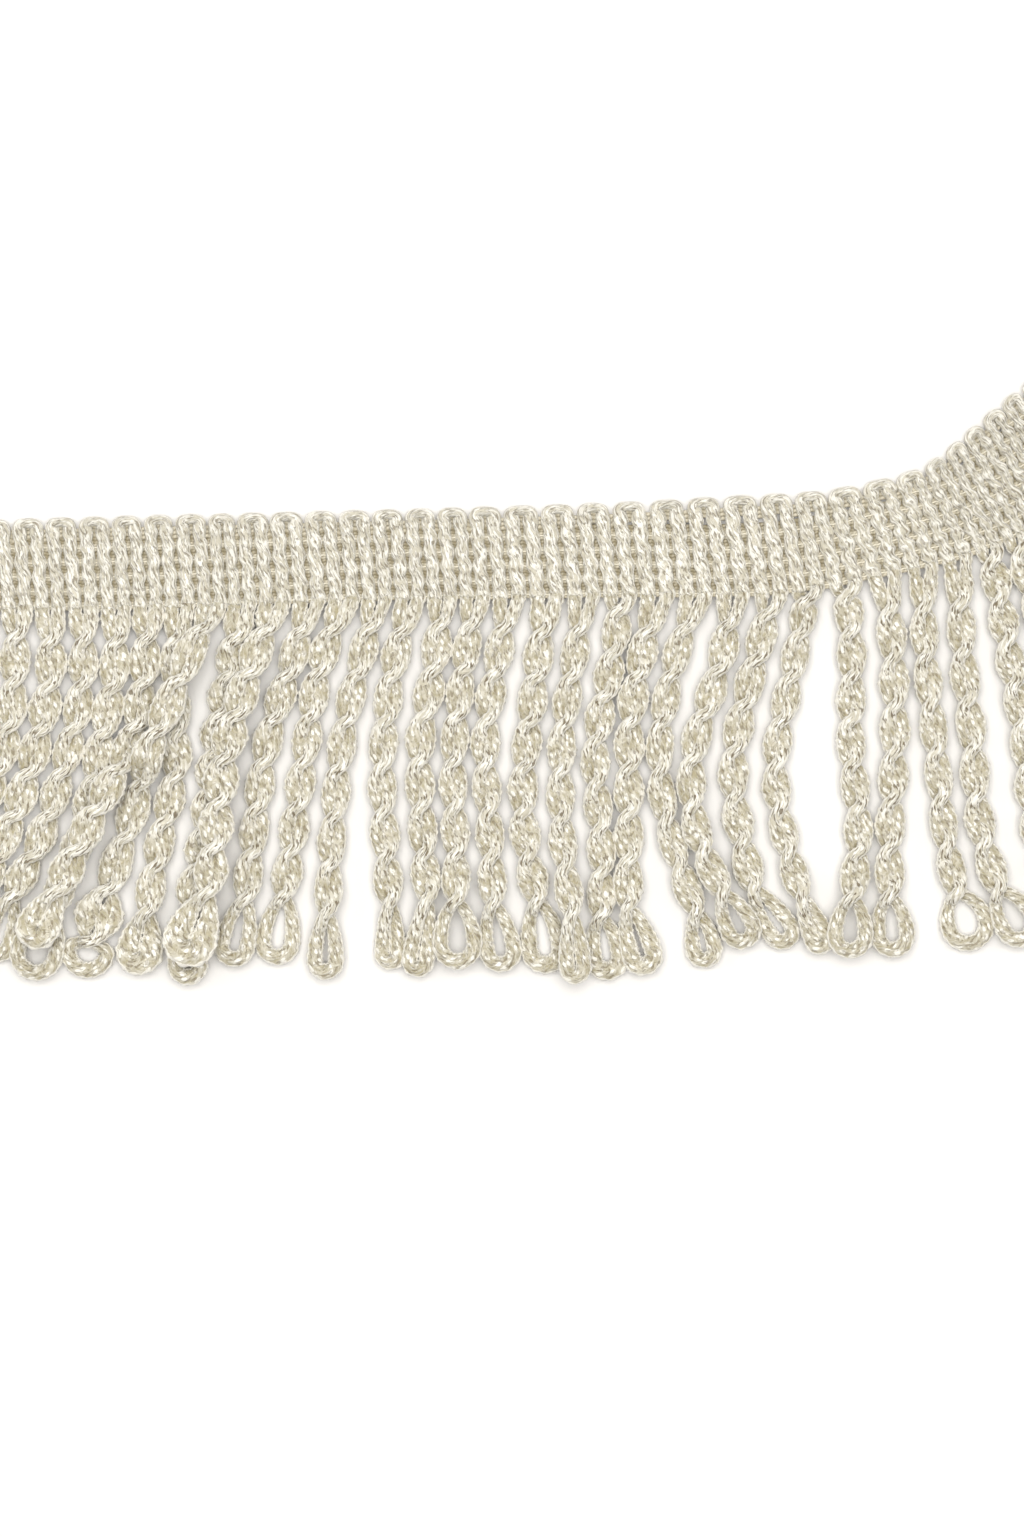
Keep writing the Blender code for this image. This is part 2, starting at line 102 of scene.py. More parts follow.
# %% The strands, their climbs and their blooms
LEVELS = (-16.0, -26.0, -36.0)
STRAND_COLUMNS = (
    "strand", "root_x", "x_16", "x_26", "x_36", "neck_x", "neck_y", "tip_x", "tip_y", "loop_width",
    "first_y", "bulges",
)
STRANDS = (
    (-1, -68.9, -69.4, -71.3, -74.6, -78.2, -44.9, -80.1, -53.3, 5.5, -8.6, 7),
    (0, -64.4, -64.7, -66.2, -70.0, -73.8, -45.0, -75.9, -53.5, 5.5, -8.0, 7),
    (1, -60.1, -60.1, -62.1, -65.5, -69.4, -45.0, -71.5, -53.6, 5.5, -8.7, 7),
    (2, -55.8, -55.8, -57.8, -60.9, -65.1, -44.7, -67.3, -53.3, 5.5, -8.6, 7),
    (3, -51.5, -51.8, -53.7, -55.9, -60.0, -46.6, -62.6, -55.6, 7.1, -8.7, 7),
    (4, -47.3, -47.9, -50.1, -55.0, -58.8, -43.9, -62.0, -51.4, 5.9, -8.3, 7),
    (5, -43.2, -43.9, -43.6, -45.4, -47.5, -46.7, -48.7, -55.0, 6.3, -8.5, 7),
    (6, -38.9, -42.8, -46.9, -50.0, -55.0, -50.6, -55.6, -55.4, 7.2, -13.4, 6),
    (7, -35.1, -36.9, -38.6, -39.9, -42.0, -45.9, -42.2, -56.3, 5.5, -13.7, 7),
    (8, -30.8, -34.1, -37.1, -38.3, -39.3, -44.1, -42.3, -53.7, 7.2, -13.0, 6),
    (9, -26.3, -29.2, -32.1, -33.5, -34.7, -45.0, -36.5, -53.9, 5.6, -13.2, 6),
    (10, -21.8, -25.2, -26.9, -28.4, -29.7, -44.7, -30.8, -53.7, 6.0, -12.9, 6),
    (11, -17.5, -20.2, -22.3, -23.3, -24.1, -46.8, -24.3, -55.6, 5.0, -12.9, 6),
    (12, -13.2, -15.6, -16.8, -16.6, -15.9, -45.5, -15.8, -54.4, 4.3, -13.2, 6),
    (13, -9.0, -10.4, -12.0, -11.6, -11.0, -45.0, -12.4, -55.3, 4.4, -12.4, 6),
    (14, -4.8, -6.4, -7.6, -7.4, -7.3, -45.2, -7.0, -54.2, 6.6, -12.4, 6),
    (15, -0.3, -2.3, -3.5, -2.9, -2.5, -45.6, -1.2, -54.6, 5.7, -12.9, 6),
    (16, 4.6, 3.1, 1.8, 1.6, 3.3, -45.2, 4.6, -54.8, 6.4, -13.4, 6),
    (17, 9.4, 7.7, 6.4, 6.5, 7.7, -46.9, 8.3, -56.1, 4.4, -13.2, 6),
    (18, 14.1, 12.6, 10.8, 11.5, 11.5, -47.3, 12.6, -55.7, 6.2, -15.9, 6),
    (19, 19.0, 16.3, 15.2, 15.2, 15.0, -45.9, 17.4, -55.0, 5.6, -13.2, 6),
    (20, 24.0, 20.7, 19.2, 20.4, 24.0, -46.7, 25.3, -54.1, 5.0, -12.9, 6),
    (21, 28.8, 26.6, 23.6, 24.0, 27.3, -44.2, 30.5, -51.5, 5.7, -12.4, 6),
    (22, 33.8, 31.2, 28.9, 29.6, 31.3, -43.7, 35.9, -51.5, 5.7, -11.0, 6),
    (23, 38.6, 36.3, 34.4, 35.2, 37.6, -44.6, 40.4, -52.3, 5.0, -13.4, 6),
    (24, 43.4, 44.2, 44.1, 45.1, 44.1, -44.7, 43.8, -52.8, 6.5, -13.2, 6),
    (25, 48.5, 49.7, 49.7, 49.2, 49.0, -44.5, 49.7, -52.7, 6.0, -10.7, 6),
    (26, 53.5, 54.0, 55.2, 56.2, 57.9, -44.3, 60.1, -51.8, 7.2, -10.4, 6),
    (27, 58.0, 58.9, 60.0, 61.0, 63.2, -43.9, 67.0, -51.1, 6.5, -9.9, 6),
    (28, 62.1, 65.2, 66.8, 68.1, 70.2, -43.9, 73.0, -51.2, 6.0, -8.9, 7),
    (29, 65.5, 70.2, 72.0, 73.5, 75.6, -43.7, 78.0, -51.1, 5.7, -7.8, 7),
    (30, 68.9, 74.7, 76.9, 78.9, 81.3, -43.6, 83.8, -51.1, 5.7, -6.5, 7),
    (31, 72.2, 79.0, 81.6, 83.9, 86.7, -43.5, 89.4, -50.9, 5.5, -5.0, 7),
    (32, 75.6, 83.4, 86.3, 89.0, 92.1, -43.3, 95.0, -50.6, 5.7, -3.4, 7),
    (33, 78.9, 87.7, 91.0, 94.1, 97.5, -42.9, 100.6, -50.0, 5.5, -1.6, 7),
)
LIFT_COLUMNS = ("strand", "height", "from_y", "to_y")
LIFTS = (
    (4, 4.2, -30.0, -70.0),
    (6, 4.2, -13.0, -26.0),
    (8, 2.4, -14.0, -70.0),
    (8, 2.0, -37.0, -70.0),
    (21, 1.2, -29.0, -46.0),
    (24, 2.3, -46.0, -70.0),
    (14, 1.9, -44.0, -70.0),
    (17, 1.9, -43.0, -70.0),
)
BLOOM_COLUMNS = ("strand", "y", "reach", "beside", "wide", "calm")
BLOOMS = (
    (4, -50.0, 7.0, 0.0, 0.5, 0.0),
    (5, -54.0, 5.0, 0.0, 0.58, 0.0),
    (6, -46.9, 3.4, 0.5, 0.65, 0.3),
    (7, -30.0, 14.0, 0.1, 0.1, 0.0),
    (8, -28.0, 16.0, 0.2, 0.2, 0.0),
    (8, -52.0, 7.0, 0.0, 0.8, 0.0),
    (16, -52.0, 5.0, 0.0, 0.15, 0.0),
    (18, -53.0, 5.0, 0.0, 0.25, 0.0),
    (19, -53.0, 5.0, 0.0, 0.2, 0.0),
)


def rows(columns, table):
    """The table's rows, each as a dictionary with the columns' names."""
    return [dict(zip(columns, row)) for row in table]


strands = rows(STRAND_COLUMNS, STRANDS)
lifts = rows(LIFT_COLUMNS, LIFTS)
blooms = rows(BLOOM_COLUMNS, BLOOMS)
strand_7, strand_8 = strands[8:10]
print("there are", len(strands), "strands,", len(lifts), "climbs and", len(blooms), "blooms")

# %% [markdown]
# ## Small tools for smooth change
# Every line here is a smooth curve through a few given numbers, every change from one state to the
# next, such as from rib to ply, is a soft ramp, and every local change is a bell. All take whole
# arrays, so a thousand places cost no more lines than one.

# %% A curve through points, a soft ramp and a bell


def spline(at, values, where):
    """A natural cubic curve through the values at the rising places at, read at where.

    Between two places the curve is the sum of two straight ramps and two cubes, and the cubes'
    weights, which are the curve's bends at the places, solve one small system of equations.
    """
    at = np.asarray(at, float)
    values = np.asarray(values, float)
    step = np.diff(at)
    inner = np.arange(1, len(at) - 1)
    system = np.eye(len(at))
    system[inner, inner - 1] = step[:-1]
    system[inner, inner] = 2 * (step[:-1] + step[1:])
    system[inner, inner + 1] = step[1:]
    right = np.zeros(len(at))
    right[inner] = 6 * np.diff(np.diff(values) / step)
    bend = np.linalg.solve(system, right)
    i = np.clip(np.searchsorted(at, where) - 1, 0, len(at) - 2)
    past = where - at[i]
    left = at[i + 1] - where
    cubes = (bend[i] * left**3 + bend[i + 1] * past**3) / (6 * step[i])
    start = (values[i] / step[i] - bend[i] * step[i] / 6) * left
    end = (values[i + 1] / step[i] - bend[i + 1] * step[i] / 6) * past
    return cubes + start + end


def smooth_step(t):
    """0 below 0, 1 above 1, and three t squared less two t cubed between them."""
    t = np.clip(t, 0.0, 1.0)
    return t * t * (3 - 2 * t)


def bell(off, reach):
    """1 at 0 and less to both sides: e to the minus square of off over reach."""
    return np.exp(-(off / reach)**2)


def unit(vectors):
    """Each vector divided by its length."""
    return vectors / np.linalg.norm(vectors, axis=1, keepdims=True)


print("half way up the ramp:", smooth_step(0.5))
print("one reach from the middle of the bell:", round(bell(1.0, 1.0), 2))

# %% [markdown]
# ## Places on the heading
# Two numbers give a place on the heading. The first counts strands along it, so that strand 7 leaves
# it at 7, its two ribs stand at 6.75 and 7.25, and the cord turns over the top at 6.5 and 7.5. The
# second is the distance up from the lower edge. In these numbers the ribs and arcs of the bent end
# are as easy as those of the straight one.

# %% From strand count and height to x and y
QUARTER_PLACE = 0.25
ARC_RADIUS = 0.62
ARC_RISE = 1.1


def heading_frame(place):
    """The lower edge, the unit direction up the heading and its length, at places along it."""
    numbers = [row["strand"] for row in strands]
    roots = [row["root_x"] for row in strands]
    low_x = spline(numbers, roots, place)
    low = np.stack([low_x, spline(edges["low_x"], edges["low_y"], low_x)], axis=-1)
    high_x = spline(edges["low_x"], edges["high_x"], low_x)
    high = np.stack([high_x, spline(edges["low_x"], edges["high_y"], low_x)], axis=-1)
    length = np.linalg.norm(high - low, axis=-1)
    return low, (high - low) / length[..., None], length


def heading_point(place, height):
    """The x and y of a place on the heading: the lower edge plus height times the direction up."""
    low, direction, length = heading_frame(place)
    return low + direction * height[..., None]


def arc_start(place):
    """The height at which a rib ends and its arc over the top edge begins."""
    return heading_frame(place)[2] - ARC_RADIUS - ARC_RISE


print("ribs are", round(float(arc_start(np.array(7.0))), 1), "mm high at strand 7")

# %% [markdown]
# ## A stretch of cord
# The cord is made in stretches: ribs, arcs, plies and loops. A stretch is an array with one line for
# each point and seven columns: x, y and height of the cord's middle, half its width, half its
# thickness, its share of painted light, from 0 for painted shade to 1 for a painted highlight, and
# whether it hangs in the skirt. All stretches have the same columns, so they simply join.

# %% Keep a stretch, and mix two states of it
X, Y, Z, WIDE, TALL, PAINTED_LIGHT, IN_SKIRT = range(7)
ROOT_RISE_ABOVE = 1.5
ROOT_RISE_BELOW = 2.0


def stretch(points, height, wide, tall, light_share, in_skirt):
    """The columns of a stretch side by side, each spread over all its points."""
    columns = [points[:, 0], points[:, 1], height, wide, tall, light_share, in_skirt]
    return np.stack([np.broadcast_to(column, len(points)) for column in columns], axis=1)


def between(one, two, share):
    """One where the share is 0, two where it is 1, and in proportion between them."""
    return one + (two - one) * share


def root_rise(below_edge):
    """From 0 up in the heading to 1 down the strand: a soft ramp across the heading's edge."""
    return smooth_step((below_edge + ROOT_RISE_ABOVE) / (ROOT_RISE_ABOVE + ROOT_RISE_BELOW))


print("at the heading's edge the cord has risen by a share of", round(float(root_rise(0.0)), 2))

# %% [markdown]
# ## A rib of the heading
# Each row of thread presses a rib flat and a little wide, and it puffs up between rows. That is a
# cosine wave in its width, which is a share of the distance between two ribs, the same wave upside
# down in its thickness, and a narrow dent at the thread. Towards the bent end the threads nip the
# ribs' sides too, so they look like rows of beads. Near the lower edge a rib rises to the height of
# the strand's two plies.

# %% The radii and the line of a rib
FIRST_ROW = 0.25
ROW_PITCH = 1.9
RIB_STEP = 0.06
RIB_FILL = 0.82
# The ribs, and the roots where they become plies, have a fixed share of painted light.
RIB_LIGHT_SHARE = 0.75
ROOT_LIGHT_SHARE = 0.5
KNUCKLE = 0.08
BEADS = 0.26
BEADS_FROM = 20
BEADS_RAMP = 6
DENT = 0.12
DENT_REACH = 0.16
STAGGER = 0.15
STAGGER_STEP = 7


def rib_spacing(place, up):
    """The distance from a rib to the next one, at a height up the heading."""
    one = heading_point(place - QUARTER_PLACE, up)
    two = heading_point(place + QUARTER_PLACE, up)
    return np.linalg.norm(two - one, axis=-1)


def rib_radii(place, up):
    """Half a rib's width and half its thickness: opposite cosines of the thread rows, and a dent."""
    off_row = (up - FIRST_ROW + ROW_PITCH / 2) % ROW_PITCH - ROW_PITCH / 2
    row_wave = np.cos(2 * np.pi * off_row / ROW_PITCH)
    beads = BEADS * smooth_step((place - BEADS_FROM) / BEADS_RAMP)
    dent = DENT * bell(off_row, DENT_REACH)
    wide = rib_spacing(place, up) / 2 * (RIB_FILL + (KNUCKLE - beads) * row_wave)
    return wide, RIB_TALL * (1 - (KNUCKLE / 2 + beads) * row_wave) - dent


def rib(place):
    """A rib from the lower edge up: the ribs' radii on a line that sways by a sine of the thread
    rows, which fades out by the root of another sine at the rib's two ends."""
    top = float(arc_start(np.array(place)))
    up = np.arange(0.0, top, RIB_STEP)
    places = np.full(len(up), place)
    points = heading_point(places, up)
    rows_up = (up - FIRST_ROW) / ROW_PITCH
    sway = np.sin(np.pi * rows_up + STAGGER_STEP * place)
    points[:, 0] += STAGGER * sway * np.sin(np.pi * up / top)**0.5
    wide, tall = rib_radii(places, up)
    rise = root_rise(-up)
    height = between(RIB_TALL, CROSSING_TALL + PLY_ABOVE, rise)
    wide = between(wide, BULGE_WIDE, rise)
    tall = between(tall, BULGE_TALL, rise)
    return stretch(points, height, wide, tall, between(RIB_LIGHT_SHARE, ROOT_LIGHT_SHARE, rise), 0.0)


print("a rib has", len(rib(6.75)), "points")

# %% [markdown]
# ## An arc over the top edge
# At the top the cord turns over into the next rib, and the row of these turns is the scalloped edge.
# Half a circle would be the plain choice, but the real turn has square shoulders. So it is stretched
# sideways by a share that grows with the square of its sine, and the cord widens a little there.

# %% The turn from a rib to the next one
ARC_SAMPLES = 40
ARC_SHOULDER = 1.1
SHOULDER_WIDE = 0.06
ARC_LIFT = 0.05
# The arcs' fixed share of painted light.
ARC_LIGHT_SHARE = 0.7


def arc(middle):
    """The turn over the top edge: a squarish arch in strand count and height, left to right."""
    turn = np.linspace(0.0, np.pi, ARC_SAMPLES)
    place = middle - QUARTER_PLACE * np.cos(turn) * (1 + ARC_SHOULDER * np.sin(turn)**2)
    start = arc_start(place)
    points = heading_point(place, start + ARC_RISE * np.sin(turn))
    wide = between(rib_radii(place, start)[0], ARC_RADIUS, np.sin(turn)**2)
    wide = wide + SHOULDER_WIDE * np.sin(2 * turn)**2
    return stretch(points, RIB_TALL + ARC_LIFT * np.sin(turn), wide, RIB_TALL, ARC_LIGHT_SHARE, 0.0)


print("an arc has", len(arc(6.5)), "points")

# %% [markdown]
# ## How high and how wide a strand lies
# A strand that crosses another climbs over it on a soft ramp, by a share of its row's height, since
# soft cords press into each other. Every second loop lies a little higher than its neighbours. A
# sine of the strand's number, with an odd step, varies the sizes: it looks like chance and gives the
# same fringe in each run.

# %% Climbs, sizes and blooms
LIFT_RAMP = 5.0
LIFT_SHARE = 0.82
LOOP_LIFT = 0.7
LOOP_LIFT_FROM = -40.0
SIZE = 1.02
SIZE_SPREAD = 0.04
SIZE_STEP = 2.1
LOOSE = 0.07
LOOSE_BEFORE = 10
LOOSE_RAMP = 3


def lift_at(row, y):
    """How high the strand is lifted at y: the sum of its climbs, each with a soft ramp at its ends."""
    height = np.zeros(np.shape(y))
    for lift in lifts:
        if lift["strand"] == row["strand"]:
            up = smooth_step((lift["from_y"] + LIFT_RAMP - y) / LIFT_RAMP)
            down = smooth_step((y - lift["to_y"] + LIFT_RAMP) / LIFT_RAMP)
            height = height + lift["height"] * up * down
    loop_lift = LOOP_LIFT * (row["strand"] % 2) * smooth_step((LOOP_LIFT_FROM - y) / LIFT_RAMP)
    return height * LIFT_SHARE + loop_lift


def looseness(row):
    """A strand's size against the usual: a sine of its number, and an extra for the left end."""
    varied = SIZE_SPREAD * np.sin(SIZE_STEP * row["strand"])
    return SIZE + varied + LOOSE * smooth_step((LOOSE_BEFORE - row["strand"]) / LOOSE_RAMP)


def bloom_at(row, y, what):
    """The sum of a strand's blooms at y, in the column named what. Each one is a bell."""
    return sum(
        bloom[what] * bell(y - bloom["y"], bloom["reach"])
        for bloom in blooms if bloom["strand"] == row["strand"]
    )


print("strand 8 is lifted by", round(float(lift_at(strand_8, -50.0)), 1), "mm near its foot")

# %% [markdown]
# ## The twist of a strand
# Two plies twist round the strand's own line. At each place the line gives a centre and a direction
# across, and an angle that grows down the strand turns the plies about that centre. The bulges,
# where the plies lie side by side, come at every half turn, so the first bulge and the number of
# bulges fix the angle. Soft cord doesn't twist evenly: the plies lie side by side for a while, puffed
# out, and then cross in haste, drawn thin. Squeezing the angle towards the bulges gives that haste.

# %% The line and the angle of a strand
LINE_SAMPLES = 400
ROOT_EASE = 3.0
HASTE = 2.7
HASTE_SPREAD = 0.35
HASTE_STEP = 2.4


def strand_line(row):
    """The strand's line from the heading to the neck, the direction across it, and its length."""
    root_y = float(spline(edges["low_x"], edges["low_y"], row["root_x"]))
    y = np.linspace(root_y, row["neck_y"], LINE_SAMPLES)
    levels = [row["neck_y"], *reversed(LEVELS), root_y]
    x = spline(levels, [row["neck_x"], row["x_36"], row["x_26"], row["x_16"], row["root_x"]], y)
    line = np.stack([x, y], axis=1)
    run = unit(np.gradient(line, axis=0))
    across = np.stack([-run[:, 1], run[:, 0]], axis=1)
    steps = np.linalg.norm(np.diff(line, axis=0), axis=1)
    return line, across, np.concatenate([[0.0], np.cumsum(steps)])


def twist_angle(row, line, length):
    """The first ply's angle, how near each place is to a bulge, and whether the ply starts right.

    An even angle grows by pi for each half turn, and reaches the neck, which is a crossing, half
    a half turn after the last bulge. The squeezed angle has the same sine, and a cosine that is
    haste times as large, so it stays near the bulges and hurries through the crossings.
    """
    first = np.interp(-row["first_y"], -line[:, 1], length)
    half_turn = (length[-1] - first) / (row["bulges"] - 0.5)
    even = np.pi * (length - first) / half_turn
    varied = HASTE_SPREAD * np.sin(HASTE_STEP * row["strand"])
    haste = HASTE + varied - bloom_at(row, line[:, 1], "calm")
    angle = np.unwrap(np.arctan2(np.sin(even), haste * np.cos(even)))
    half_turns_above = round(angle[0] / np.pi)
    shift = half_turns_above * np.pi - angle[0]
    angle = angle + shift * (1 - smooth_step(length / ROOT_EASE))
    return angle, np.cos(even)**2, half_turns_above % 2 == 0


print("strand 7's line is", round(float(strand_line(strand_7)[2][-1]), 1), "mm long")

# %% [markdown]
# ## One ply of a strand
# A ply leaves its rib's foot at full width and eases into the twist. A bell-shaped bite out of its
# width leaves a thin dark slit between the roots. Further down, its width and thickness follow the
# bulges, and a slow sine along it keeps one bulge from being the copy of the next. Its share of painted
# light is how near it lies to the top of a crossing: a painted highlight on top, painted shade beneath.

# %% From the heading down to the neck
ROOT_SLIT = 0.16
ROOT_SLIT_AT = 1.4
ROOT_SLIT_REACH = 1.3
PUFF = 0.08
PUFF_WAVE = 0.9
PUFF_STEP = 3.1


def ply(row, side):
    """One ply from its rib down to the neck, and its last angle. Side is -1 or 1.

    The ply is a helix: the strand's line, and from it the cosine of the angle across and the sine
    of the angle up.
    """
    line, across, length = strand_line(row)
    angle, bulge, starts_right = twist_angle(row, line, length)
    if starts_right == (side < 0):
        angle = angle + np.pi
    place = np.array(row["strand"] + side * QUARTER_PLACE)
    rib_foot = heading_frame(place)[0] - line[0]
    gone = smooth_step(length / ROOT_EASE)[:, None]
    size = looseness(row)
    beside = (PLY_BESIDE * size + bloom_at(row, line[:, 1], "beside")) * np.cos(angle)
    points = line + (1 - gone) * rib_foot + gone * across * beside[:, None]
    rise = root_rise(length)
    rib_wide, rib_tall = rib_radii(place, np.array(0.0))
    bulge = np.maximum(bulge, 1 - length / ROOT_EASE)
    puff = 1 + PUFF * np.sin(length * PUFF_WAVE + PUFF_STEP * row["strand"] + side)
    wide = between(rib_wide, between(CROSSING_WIDE, BULGE_WIDE * size * puff, bulge), rise)
    wide = wide + bloom_at(row, line[:, 1], "wide") * bulge
    wide = wide - ROOT_SLIT * bell(length - ROOT_SLIT_AT, ROOT_SLIT_REACH)
    tall = between(rib_tall, between(CROSSING_TALL, BULGE_TALL, bulge), rise)
    middle = between(RIB_TALL, CROSSING_TALL + PLY_ABOVE, rise)
    height = middle + PLY_ABOVE * np.sin(angle) + lift_at(row, line[:, 1])
    # Painted light: the ply is painted lit as it rises over the other ply and in shade as it passes
    # beneath.
    light_share = 0.5 + 0.5 * np.sin(angle)
    return stretch(points, height, wide, tall, light_share, 1.0), angle[-1]


print("strand 7's left ply ends", round(ply(strand_7, -1)[1] / np.pi, 2), "half turns down")

# %% [markdown]
# ## The loop at the foot
# Below the neck the plies part, run down the two sides of a teardrop and meet in a half circle. Loops
# that lie side by side press on each other, so they are narrowed by what they overlap. Where a climb
# lifts one loop clear of the other, it lies over it and keeps its width.

# %% The teardrop, and room for its neighbours
LOOP_SQUEEZE = 1.3
MIN_LOOP_RADIUS = 0.7


def loop_shape(row):
    """The neck, the loop's axis, its length and end radius, and half the cord's width."""
    wide = LOOP_WIDE + bloom_at(row, row["tip_y"], "wide")
    neck = np.array([row["neck_x"], row["neck_y"]])
    axis = np.array([row["tip_x"] - row["neck_x"], row["tip_y"] + wide - row["neck_y"]])
    length = float(np.linalg.norm(axis))
    return neck, axis / length, length, max(row["loop_width"] / 2 - wide, MIN_LOOP_RADIUS), wide


def loop_middle(row):
    """The middle of the loop's round end."""
    neck, axis, length, radius, wide = loop_shape(row)
    return neck + axis * (length - radius)


def aside(row, apart):
    """How far a step leads aside from the loop's axis: the size of their cross product."""
    axis = loop_shape(row)[1]
    return abs(axis[0] * apart[1] - axis[1] * apart[0])


def make_room(strands):
    """Narrow each pair of neighbouring loops by what they overlap, unless one climbs over the other."""
    for one, two in zip(strands, strands[1:]):
        climb = lift_at(two, two["tip_y"]) - lift_at(one, one["tip_y"])
        if abs(climb) - LOOP_LIFT > BULGE_WIDE:
            continue
        apart = loop_middle(two) - loop_middle(one)
        room = min(aside(one, apart), aside(two, apart))
        excess = (one["loop_width"] + two["loop_width"]) / 2 - LOOP_SQUEEZE - room
        if excess > 0:
            one["loop_width"] -= excess
            two["loop_width"] -= excess


make_room(strands)
print("loop widths in mm:", [round(row["loop_width"], 1) for row in strands])

# %% [markdown]
# ## The cord round a loop
# A loop is one curve of a place that runs from 0 at the neck, by 1 and 2 at the ends of the half
# circle, to 3 back at the neck. The ply that lies on top at the neck comes down to the floor while it
# parts from the other one.

# %% The loop's line and radii
LOOP_SAMPLES = 240
LOOP_END = 3.0
LOOP_HASTE = 0.75
PARTING_REACH = 1.6


def loop(row, last_angle):
    """The loop, from the ply with that last angle round to the other one.

    Each arm is a quarter of a sine wave, opened early, and the bend is half a circle. The height is
    the cord's radius, and near the neck the top ply's falls to it from above the other ply.
    """
    neck, axis, length, radius, wide = loop_shape(row)
    place = np.linspace(0.0, LOOP_END, LOOP_SAMPLES)
    first_half = place < LOOP_END / 2
    down = np.minimum(place, LOOP_END - place)
    turn = np.clip(place - 1, 0, 1) * np.pi
    opening = np.sin(np.minimum(down, 1)**LOOP_HASTE * np.pi / 2)
    beside = np.where(down < 1, opening, np.abs(np.cos(turn))) * radius
    beside = np.where(first_half, beside, -beside)
    along = (length - radius) * np.minimum(down, 1) + radius * np.sin(turn)
    to_right = np.cos(last_angle + np.pi / 2) > 0
    across = np.array([-axis[1], axis[0]]) * (1 if to_right else -1)
    points = neck + np.outer(along, axis) + np.outer(beside, across)
    parting = (np.arcsin(min(PLY_BESIDE / radius, 1.0)) * 2 / np.pi)**(1 / LOOP_HASTE)
    above = PLY_ABOVE * (1 - smooth_step(down / (PARTING_REACH * parting)))
    on_top = np.where(first_half, np.sin(last_angle), -np.sin(last_angle))
    opened = smooth_step(down)
    tall = between(CROSSING_TALL, LOOP_TALL, opened)
    height = tall + above * (1 + on_top) + lift_at(row, points[:, 1])
    # Painted light: near the neck the ply on top is painted lit and the one beneath in shade.
    light_share = 0.5 + 0.5 * on_top * above / PLY_ABOVE
    return stretch(points, height, between(CROSSING_WIDE, wide, opened), tall, light_share, 1.0)


print("strand 7's loop hangs down to", round(float(loop(strand_7, 0.0)[:, Y].min()), 1), "mm")

# %% [markdown]
# ## The whole cord
# The cord is one line from end to end: down a rib, down a ply, round the loop, up the other ply, up
# the next rib and over the arc. At each cut end of the length it runs down one more rib and stops,
# sealed. The stretches are joined and read again at equal steps, and a short bell-shaped average
# along the line takes out the small corners where two of them meet.

# %% Join the stretches and read them at equal steps
CORD_STEP = 0.2
SAME_PLACE = 1e-6
SOFTNESS = 0.32
KERNEL_REACH = 8


def strand_cord(row):
    """A strand's cord: down the left rib and ply, round the loop, and up the right ply and rib."""
    left, last_angle = ply(row, -1)
    right = ply(row, 1)[0]
    left_rib = rib(row["strand"] - QUARTER_PLACE)[::-1]
    right_rib = rib(row["strand"] + QUARTER_PLACE)
    return [left_rib, left, loop(row, last_angle), right[::-1], right_rib]


def whole_cord():
    """All the stretches in order, from one cut end of the length to the other."""
    first = strands[0]["strand"] - 0.5
    stretches = [rib(first - QUARTER_PLACE), arc(first)]
    for row in strands:
        stretches += strand_cord(row)
        stretches.append(arc(row["strand"] + 0.5))
    last = strands[-1]["strand"] + 0.5
    stretches.append(rib(last + QUARTER_PLACE)[::-1])
    return np.concatenate(stretches)


def even_steps(line, step):
    """The line's columns read at equal steps of its length, and that length at each step."""
    steps = np.linalg.norm(np.diff(line[:, :3], axis=0), axis=1)
    line = line[np.concatenate([[True], steps > SAME_PLACE])]
    steps = steps[steps > SAME_PLACE]
    length = np.concatenate([[0.0], np.cumsum(steps)])
    places = np.arange(0.0, length[-1], step)
    columns = [np.interp(places, length, line[:, i]) for i in range(line.shape[1])]
    return np.stack(columns, axis=1), places


def soften(line):
    """The line with its x, y and height averaged along it with bell-shaped weights."""
    reach = np.arange(-KERNEL_REACH, KERNEL_REACH + 1) * CORD_STEP
    weights = np.exp(-0.5 * (reach / SOFTNESS)**2)
    weights /= weights.sum()
    padded = np.pad(line, ((KERNEL_REACH, KERNEL_REACH), (0, 0)), mode="edge")
    soft = [np.convolve(padded[:, i], weights, mode="valid") for i in (X, Y, Z)]
    return np.concatenate([np.stack(soft, axis=1), line[:, WIDE:]], axis=1)


cord, cord_length = even_steps(whole_cord(), CORD_STEP)
cord = soften(cord)
print("the cord is", round(cord_length[-1] / 1000, 2), "m long, in", len(cord), "steps")

# %% [markdown]
# ## The knitted surface of the cord
# The cord is a narrow tube of silky yarn, knitted in a few columns of V-shaped stitches. A grid
# wraps round the line, with one direction along it and one around it. The stitches are a wave along
# the cord whose crests slant one way on the left half of a column and the other way on the right,
# which draws the V. In the heading the cord is pressed, and the stitches stand out less. The same
# two numbers go into the UV map, where the yarn's finish reads them.

# %% The grid round the line
AROUND = 16
COLUMNS_OF_STITCHES = 4
STITCH_LENGTH = 0.95
SLANT = 0.75
VALLEY_RELIEF = 0.55
RIDGE_RELIEF = 0.45
STITCH_RELIEF = 0.2
HEADING_RELIEF = 0.25
SLOW_TURN = 0.11
UNEVEN = 0.05
UNEVEN_WAVES = ((0.83, 0.0), (0.31, 1.0), (2.1, 2.0))


def line_frame(points):
    """At each point, the direction along the line, the one most upwards, and the one to its side."""
    along = unit(np.gradient(points, axis=0))
    up = unit(np.array([0.0, 0.0, 1.0]) - along[:, 2:] * along)
    return along, up, np.cross(along, up)


